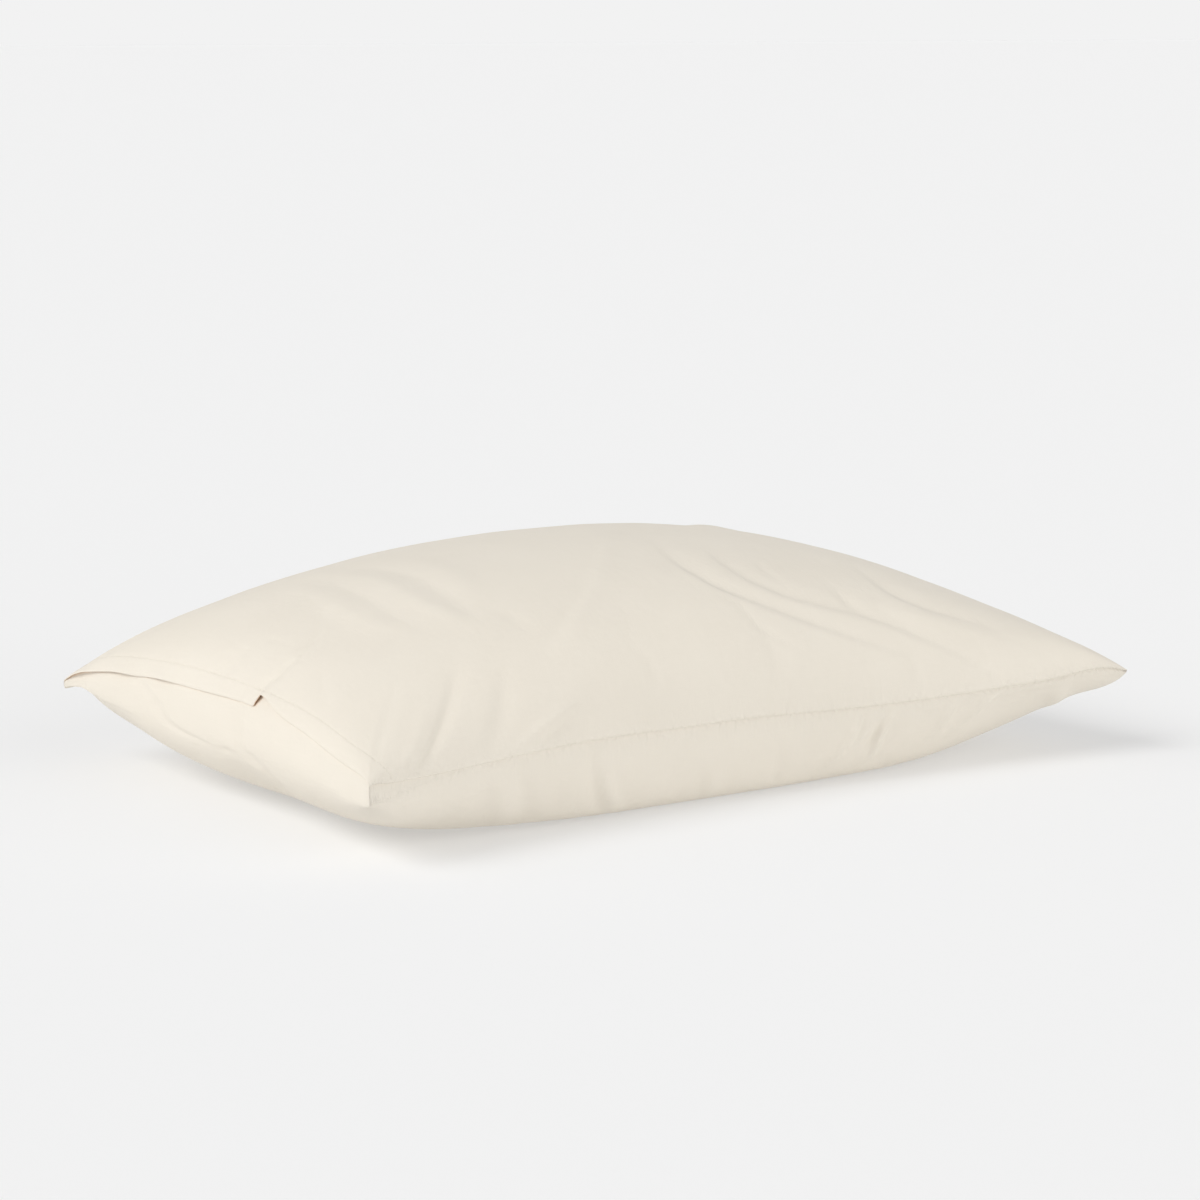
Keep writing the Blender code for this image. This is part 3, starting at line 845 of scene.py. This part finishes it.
def build_back():
    extra = np.concatenate([1 - RIM_STEPS / half_length, FOLD_COLUMNS / half_length])
    along = half_length * crowded(BACK_COLUMNS, BACK_CROWDING, extra)
    unrolled = np.concatenate([-FLAT_LENGTH - along[::-1], along[1:]])
    across = half_width * crowded(BACK_ROWS, BACK_CROWDING, rim_steps(half_width))
    unrolled, across = np.meshgrid(unrolled, across, indexing="ij")
    points = case_surface(unrolled, across)
    along, past_end, hem = folded(unrolled), -half_length - unrolled, hem_place(across)
    to_seam = seam_distance(along, across)
    covered = ramp(unrolled - hem - SINK_START, SINK_RUN) * ramp(to_seam, SINK_SEAM_RUN)
    bulge = SEAM_FOLD * (1 - np.exp(-to_seam / SEAM_FOLD_REACH)) * ramp(past_end, SEAM_FOLD_RUN)
    to_corner = np.hypot(along + half_length, across + half_width)
    below = ramp(past_end, EAR_TURN) * (1 - ramp(to_corner, EAR_REACH))
    beside_tuck = half_width + across - CORNER_TUCK_PLACE
    bulge = bulge - CORNER_TUCK * below * swell(beside_tuck, CORNER_TUCK_PLACE)
    bulge = bulge * ramp(points[..., 2], FLOOR_FADE)
    behind = np.maximum(unrolled - hem, 0)
    bulge = bulge + hem_lift(behind + hem, across) * ramp(behind, GAP_DEPTH)
    points = above_floor(points + outward(unrolled, across) * (bulge - BACK_SINK * covered)[..., None])
    flat = np.stack([unrolled, across], axis=-1)
    case = add_mesh("back_cloth", points + TO_ORIGIN, wrapped_faces(unrolled.shape), flat)
    flatten_seam(case.data, points, flat)
    # Painted shade: where the back runs on under the hem, away from the seams, its colour turns warm
    # brown.
    add_value(case.data, "painted_gap_shade", ramp(behind, PAINTED_SHADE_RUN) * ramp(to_seam, PAINTED_SHADE_RUN))
    return case


back_cloth = build_back()
print("back", len(back_cloth.data.polygons), "faces")

# %% [markdown]
# ## The front panel
#
# A thin closed sheet over the same form. Its edge rolls down into the side seams and the closed end
# seam. At the open end its hem is thicker, and dips along the stitching, so one column of the grid lies
# right on the stitching, with others close beside it.

# %% Build the front sheet
FRONT_COLUMNS = 272
FRONT_ROWS = 142
FRONT_CROWDING = 0.45
HEM_COLUMNS = 16
HEM_CROWDING = 0.75
KINK_ROWS = np.array([-57, -54, -52, -50.5, -49, -47.5, -46, -44.5, -43])
SHEET_INNER = 0.0004
SHEET_OUTER = 0.0011
HEM_INNER = -0.0002
HEM_INNER_RUN = 0.006
HEM_EXTRA = 0.0003
HEM_EXTRA_RUN = 0.0006
EXPONENT_LIMIT = 50
HEM_EDGE_THINNING = 0.0009
HEM_EDGE_REACH = 0.0013
STITCH_DIP = 0.00028
STITCH_DIP_REACH = 0.0011
EDGE_ROLL = 0.0018
EDGE_THINNING = 0.0008
RIM_SINK = 0.0003
RIM_SINK_RUN = 0.003


def sheet_faces(upper, lower):
    """Quads of a closed sheet between two matching grids."""
    columns, rows = upper.shape
    faces = []
    for i in range(columns - 1):
        for j in range(rows - 1):
            a, b, c, d = quad(lower, i, j)
            faces += [quad(upper, i, j), (a, d, c, b)]
    rim = [(i, 0) for i in range(columns - 1)]
    rim += [(columns - 1, j) for j in range(rows - 1)]
    rim += [(i, rows - 1) for i in range(columns - 1, 0, -1)]
    rim += [(0, j) for j in range(rows - 1, 0, -1)]
    for here, after in zip(rim, rim[1:] + rim[:1]):
        faces.append((lower[here], lower[after], upper[after], upper[here]))
    return faces


def sheet_heights(along, across):
    behind = along - hem_place(across)
    past_stitch = along - stitch_place(across)
    inward = seam_distance(along, across)
    falling = np.exp(np.minimum(past_stitch / HEM_EXTRA_RUN, EXPONENT_LIMIT))
    outer = SHEET_OUTER + HEM_EXTRA / (1 + falling)
    outer = outer - STITCH_DIP * swell(past_stitch, STITCH_DIP_REACH)
    outer = outer - HEM_EDGE_THINNING * np.exp(-behind / HEM_EDGE_REACH)
    outer = outer - EDGE_THINNING * (1 - ramp(inward, EDGE_ROLL)) ** 2
    inner = HEM_INNER + (SHEET_INNER - HEM_INNER) * ramp(behind, HEM_INNER_RUN)
    sewn = 1 - ramp(inward, RIM_SINK_RUN)
    inner = inner * (1 - sewn) - RIM_SINK * sewn
    lift = hem_lift(along, across)
    return outer + lift, inner + lift


def build_front():
    extra = np.concatenate([rim_steps(half_width), KINK_ROWS * MM / half_width])
    across = half_width * crowded(FRONT_ROWS, FRONT_CROWDING, extra)
    hem, stitching = hem_place(across), stitch_place(across)
    hem_share = (crowded(HEM_COLUMNS, HEM_CROWDING)[:, None] + 1) / 2
    share = (crowded(FRONT_COLUMNS, FRONT_CROWDING, rim_steps(half_length))[1:, None] + 1) / 2
    along = np.concatenate([hem + (stitching - hem) * hem_share,
                            stitching + (half_length - stitching) * share])
    across = np.broadcast_to(across, along.shape).copy()
    body, normal = case_surface(along, across), outward(along, across)
    points = np.stack([body + normal * height[..., None] for height in sheet_heights(along, across)])
    flat = np.stack([along, across], axis=-1)
    ids = np.arange(2 * along.size).reshape(2, *along.shape)
    sheet = add_mesh("front_cloth", points + TO_ORIGIN, sheet_faces(*ids), np.stack([flat, flat]))
    past = along - stitch_place(across)
    add_value(sheet.data, "past_stitching", np.stack([past, past]))
    # Painted shade: the sheet's underside turns warm brown away from the seams, and its top keeps the
    # plain colour.
    inside = ramp(seam_distance(along, across), PAINTED_SHADE_RUN)
    add_value(sheet.data, "painted_gap_shade", np.stack([np.zeros_like(past), inside]))
    return sheet


front_cloth = build_front()
print("front", len(front_cloth.data.polygons), "faces")

# %% [markdown]
# ## Shader maths as plain expressions
#
# A small class wraps a node socket and overloads the operators, so that a pattern reads like the
# formula that it is. Each expression adds Math nodes. Any other node comes from one method. Colours go
# through a Mix node, because a Math node would turn them grey.

# %% A wrapper for sockets


def adds(operation, swapped=False):
    """A method that adds a Math node on the field and what else it is given."""
    if swapped:
        return lambda self, other: self.math(operation, other, self)
    return lambda self, *others: self.math(operation, self, *others)


class Field:
    def __init__(self, tree, socket=None):
        self.tree = tree
        self.socket = socket

    def node(self, kind, settings=None, **sockets):
        """A new node. Its sockets go by name, or by number as in i0."""
        made = self.tree.nodes.new(kind)
        for name, value in (settings or {}).items():
            setattr(made, name, value)
        for key, value in sockets.items():
            numbered = key[0] == "i" and key[1:].isdigit()
            place = made.inputs[int(key[1:]) if numbered else key.replace("_", " ")]
            if isinstance(value, Field):
                value.feed(place)
            else:
                place.default_value = value
        return made

    def output(self, kind, place=0, settings=None, **sockets):
        """One output of a new node, wrapped again."""
        return Field(self.tree, self.node(kind, settings, **sockets).outputs[place])

    def feed(self, place):
        self.tree.links.new(self.socket, place)

    def math(self, operation, *values):
        numbered = {f"i{number}": value for number, value in enumerate(values)}
        return self.output("ShaderNodeMath", 0, {"operation": operation}, **numbered)

    def blend(self, low, high):
        return self.output("ShaderNodeMix", 2, {"data_type": "RGBA"}, i0=self, i6=low, i7=high)

    def fade(self):
        return self.math("EXPONENT", self * -1.0)

    __add__ = __radd__ = adds("ADD")
    __sub__ = adds("SUBTRACT")
    __rsub__ = adds("SUBTRACT", swapped=True)
    __mul__ = __rmul__ = adds("MULTIPLY")
    __truediv__ = adds("DIVIDE")
    wave = adds("SINE")
    size = adds("ABSOLUTE")
    at_most = adds("MINIMUM")
    at_least = adds("MAXIMUM")


def new_material(name, constants):
    """A material whose Principled shader has these constants, its shader, and a start for its maths."""
    material = bpy.data.materials.new(name)
    material.use_nodes = True
    shader = material.node_tree.nodes["Principled BSDF"]
    for socket, value in constants.items():
        shader.inputs[socket].default_value = value
    return material, shader, Field(material.node_tree)


# %% [markdown]
# ## The percale
#
# Percale is a plain weave of fine, even cotton yarns, over one and under one. The weave is far finer
# than a pixel from here, so what shows is a faint thread grain, a few thicker yarns, and a soft, matt
# light with a little fuzz at grazing angles. Beside a seam or a row of stitching the cloth puckers in
# small ridges, square to the stitches. All of it is drawn on the UV map, so it follows the cloth, and
# all heights are real ones, in metres. Where the cloth is tucked in, under the hem and in its gaps, a
# value on the mesh turns the colour warm brown. That is painted shade, which stands in for the dim,
# warm light that comes through the cotton there.
#
# A noise row holds how many swells a metre has, along and across, the detail and the roughness.

# %% Make the percale
CREAM = (0.798, 0.744, 0.652, 1)
CREAM_LOW = (0.773, 0.718, 0.625, 1)
# Painted warm shade for the cloth where it is tucked in.
PAINTED_WARM_SHADE = (0.760, 0.560, 0.400, 1)
COTTON = {"Roughness": 0.88, "Specular IOR Level": 0.25, "Sheen Weight": 0.12, "Sheen Roughness": 0.45}
NOISES = {
    "warp yarns": (40, 1500, 2, 0.6),
    "weft yarns": (1500, 40, 2, 0.6),
    "wrinkles": (55, 55, 3, 0.55),
    "fine wrinkles": (210, 110, 2, 0.5),
    "mottle": (14, 14, 2, 0.5),
    "unevenness": (120, 120, 1, 0.5),
}
YARN_SHARE = 0.55
TONE_CONTRAST = 2.2
YARN_PITCH = 0.00042
WEAVE_HEIGHT = 0.00003
YARN_HEIGHT = 0.00014
WRINKLE_HEIGHT = 0.00030
FINE_WRINKLE_HEIGHT = 0.00015
PUCKER_WANDER = 8
SEAM_PUCKER_PITCH = 0.0068
SEAM_PUCKER_HEIGHT = 0.00022
SEAM_PUCKER_REACH = 0.007
HEM_PUCKER_PITCH = 0.0055
HEM_PUCKER_HEIGHT = 0.00007
HEM_PUCKER_REACH = 0.005


def percale(name, hemmed):
    material, shader, root = new_material(name, COTTON)
    flat = root.output("ShaderNodeUVMap", 0, {"uv_map": "UVMap"})
    parts = root.node("ShaderNodeSeparateXYZ", i0=flat)
    along, across = Field(root.tree, parts.outputs[0]), Field(root.tree, parts.outputs[1])

    def noise(which):
        scale_along, scale_across, detail, roughness = NOISES[which]
        place = root.output("ShaderNodeCombineXYZ", X=along * scale_along, Y=across * scale_across)
        return root.output("ShaderNodeTexNoise", 0, {"noise_dimensions": "2D"}, Vector=place, Scale=1.0,
                           Detail=detail, Roughness=roughness)

    def puckers(place, distance, pitch, reach):
        uneven = noise("unevenness")
        ridges = (place * (2 * np.pi / pitch) + uneven * PUCKER_WANDER).wave()
        return ridges * (distance / reach).fade() * uneven * 2

    # Over one, under one: the warp is high where the weft is low.
    turn = np.pi / YARN_PITCH
    crossing = (along * turn).wave() * (across * turn).wave()
    rounded = (along * turn * 2).wave() * 0.25 + (across * turn * 2).wave() * 0.25
    weave = crossing * 0.5 + rounded

    # Thicker yarns run straight along and across the cloth.
    yarns = (noise("warp yarns") + noise("weft yarns")) * 0.5
    height = weave * WEAVE_HEIGHT + yarns * YARN_HEIGHT + noise("wrinkles") * WRINKLE_HEIGHT
    height = height + noise("fine wrinkles") * FINE_WRINKLE_HEIGHT
    from_side = (half_width - across.size()).size()
    from_end = (half_length - along).at_most(along + 3 * half_length).size()
    seam = puckers(along, from_side, SEAM_PUCKER_PITCH, SEAM_PUCKER_REACH)
    seam = seam + puckers(across, from_end, SEAM_PUCKER_PITCH, SEAM_PUCKER_REACH)
    height = height + seam * SEAM_PUCKER_HEIGHT
    if hemmed:
        stitching = root.output("ShaderNodeAttribute", "Fac", {"attribute_name": "past_stitching"})
        hem = puckers(across, stitching.size(), HEM_PUCKER_PITCH, HEM_PUCKER_REACH)
        height = height + hem * HEM_PUCKER_HEIGHT
    bump = root.output("ShaderNodeBump", Height=height, Strength=1.0, Distance=1.0)
    bump.feed(shader.inputs["Normal"])

    tone = yarns * YARN_SHARE + noise("mottle") * (1 - YARN_SHARE)
    cream = ((tone - 0.5) * TONE_CONTRAST + 0.5).blend(CREAM_LOW, CREAM)
    # Painted shade: where the cloth is tucked in, the colour turns warm brown.
    gap_shade = root.output("ShaderNodeAttribute", "Fac", {"attribute_name": "painted_gap_shade"})
    gap_shade.blend(cream, PAINTED_WARM_SHADE).feed(shader.inputs["Base Color"])
    print(name, "has", len(root.tree.nodes), "nodes")
    return material


front_cloth.data.materials.append(percale("front_percale", hemmed=True))
back_cloth.data.materials.append(percale("back_percale", hemmed=False))

# %% [markdown]
# ## The topstitching
#
# One row of stitches in cream thread holds the hem down. A stitch could be drawn with the bump, but
# then it would have no thread standing up from the cloth. Geometry Nodes walk along the stitching line,
# set a small rounded stitch at every step and turn it to the line. Each stitch is half sunk in the hem.

# %% Sew the hem
STITCH_LENGTH = 0.0023
STITCH_PITCH = 0.0029
THREAD_RADIUS = 0.00024
STITCH_MARGIN = 0.004
STITCH_SIDES = 6
STITCH_RINGS = 4
LINE_STEP = 0.001
TWIST_SCALE = 2500.0


def stitching_tree():
    """Nodes that set one stitch at every step of a line."""
    tree = bpy.data.node_groups.new("topstitching", "GeometryNodeTree")
    tree.interface.new_socket("Line", in_out="INPUT", socket_type="NodeSocketGeometry")
    for name in ("Pitch", "Length", "Radius"):
        tree.interface.new_socket(name, in_out="INPUT", socket_type="NodeSocketFloat")
    tree.interface.new_socket("Thread", in_out="INPUT", socket_type="NodeSocketMaterial")
    tree.interface.new_socket("Stitches", in_out="OUTPUT", socket_type="NodeSocketGeometry")
    root = Field(tree)
    given = {socket.name: Field(tree, socket) for socket in root.node("NodeGroupInput").outputs}
    curve = root.output("GeometryNodeMeshToCurve", "Curve", Mesh=given["Line"])
    steps = root.node("GeometryNodeCurveToPoints", {"mode": "LENGTH"}, Curve=curve,
                      Length=given["Pitch"])
    tangent, points = Field(tree, steps.outputs["Tangent"]), Field(tree, steps.outputs["Points"])
    turned = root.output("FunctionNodeAlignRotationToVector", 0, {"axis": "X"}, Vector=tangent)
    ball = root.output("GeometryNodeMeshUVSphere", "Mesh", Segments=STITCH_SIDES, Rings=STITCH_RINGS,
                       Radius=1.0)
    length, radius = given["Length"], given["Radius"]
    size = root.output("ShaderNodeCombineXYZ", X=length * 0.5, Y=radius, Z=radius)
    stitch = root.output("GeometryNodeTransform", Geometry=ball, Scale=size)
    placed = root.output("GeometryNodeInstanceOnPoints", Points=points, Instance=stitch,
                         Rotation=turned)
    real = root.output("GeometryNodeRealizeInstances", Geometry=placed)
    painted = root.output("GeometryNodeSetMaterial", Geometry=real, Material=given["Thread"])
    root.node("NodeGroupOutput", Stitches=painted)
    return tree


def sew(name, line, thread):
    """Stitches along a line of places, as a plain mesh."""
    mesh = bpy.data.meshes.new(name)
    mesh.from_pydata(line.tolist(), [(step, step + 1) for step in range(len(line) - 1)], [])
    row = new_object(name, mesh)
    modifier = row.modifiers.new("topstitching", "NODES")
    modifier.node_group = stitching_tree()
    values = {"Pitch": STITCH_PITCH, "Length": STITCH_LENGTH, "Radius": THREAD_RADIUS, "Thread": thread}
    for socket in modifier.node_group.interface.items_tree:
        if socket.name in values:
            modifier[socket.identifier] = values[socket.name]
    made = row.evaluated_get(bpy.context.evaluated_depsgraph_get())
    row_mesh = bpy.data.meshes.new_from_object(made)
    row.modifiers.clear()
    row.data = row_mesh
    row_mesh.shade_smooth()
    return row


def stitching_line():
    across = np.arange(STITCH_MARGIN - half_width, half_width - STITCH_MARGIN, LINE_STEP)[None, :]
    along = stitch_place(across)
    outer, _ = sheet_heights(along, across)
    return (case_surface(along, across) + outward(along, across) * outer[..., None])[0] + TO_ORIGIN


thread, thread_shader, thread_root = new_material("cotton_thread", {"Roughness": 0.75})
thread_place = thread_root.output("ShaderNodeTexCoord", "Object")
twist = thread_root.output("ShaderNodeTexNoise", Vector=thread_place, Scale=TWIST_SCALE, Detail=1.0)
twist.blend(CREAM_LOW, CREAM).feed(thread_shader.inputs["Base Color"])
hem_stitches = sew("hem_stitches", stitching_line(), thread)
print("stitches", len(hem_stitches.data.polygons), "faces")

# %% [markdown]
# ## Light and floor
#
# The case lies in a pale, even studio. A soft lamp from the left end makes the flap the brightest part
# and draws the creases, helped by a lower, softer one behind it. A low, very soft fill from the right
# opens up the long side, and a pale surround gives the rest. The floor's own paleness is chosen so that
# it matches the surround at the horizon, which hides it. Each lamp has an azimuth, an elevation, a
# strength and a softness, with its angles in degrees.

# %% Light the scene
BACKGROUND = 0.888
SURROUND = 0.485
HORIZON_TOP = 0.10
LAMPS = {"left": (-90, 40, 1.45, 32), "behind_left": (-120, 22, 0.50, 50), "fill": (20, 8, 1.45, 60)}


def add_sun(name, azimuth, elevation, strength, softness):
    lamp = bpy.data.lights.new(name, "SUN")
    lamp.energy = strength
    lamp.angle = np.radians(softness)
    holder = new_object(name, lamp)
    holder.rotation_mode = "QUATERNION"
    holder.rotation_quaternion = towards(azimuth, elevation).to_track_quat("Z", "Y")


for name, lamp in LAMPS.items():
    add_sun(name, *lamp)
world = bpy.data.worlds.new("studio")
world.use_nodes = True
sky = Field(world.node_tree)
upward = sky.output("ShaderNodeSeparateXYZ", 2, i0=sky.output("ShaderNodeTexCoord", "Generated"))
near_horizon = (1 - upward / HORIZON_TOP).at_least(0.0)
brightness = (near_horizon * 2).at_most(1.0) * (BACKGROUND - SURROUND) + SURROUND
brightness.feed(sky.tree.nodes["Background"].inputs["Strength"])
sky.tree.nodes["Background"].inputs["Color"].default_value = (1, 1, 1, 1)
scene.world = world
scene.view_settings.view_transform = "Standard"
print(len(LAMPS), "lamps, surround", SURROUND)

# %% Lay the floor
FLOOR_REACH = 60
FLOOR_HEIGHT = -0.0004
FLOOR_TONE = 0.60
FLOOR_GLOW = 0.325
FLOOR_PAINT = {
    "Base Color": (FLOOR_TONE, FLOOR_TONE, FLOOR_TONE, 1), "Roughness": 1.0, "Specular IOR Level": 0.0,
    "Emission Color": (1, 1, 1, 1), "Emission Strength": FLOOR_GLOW,
}
corners = np.array([(-1, -1, 0), (1, -1, 0), (1, 1, 0), (-1, 1, 0)]) * FLOOR_REACH
floor = new_object("floor", new_mesh("floor", corners, [(0, 1, 2, 3)]))
floor.location.z = FLOOR_HEIGHT
floor.data.materials.append(new_material("floor_paint", FLOOR_PAINT)[0])
print("floor tone", FLOOR_TONE, "glow", FLOOR_GLOW)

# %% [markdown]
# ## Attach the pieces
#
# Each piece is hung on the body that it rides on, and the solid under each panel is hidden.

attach(back_cloth, "root")
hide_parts("back_panel")
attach(front_cloth, "root")
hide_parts("front_panel")
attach(hem_stitches, "root")
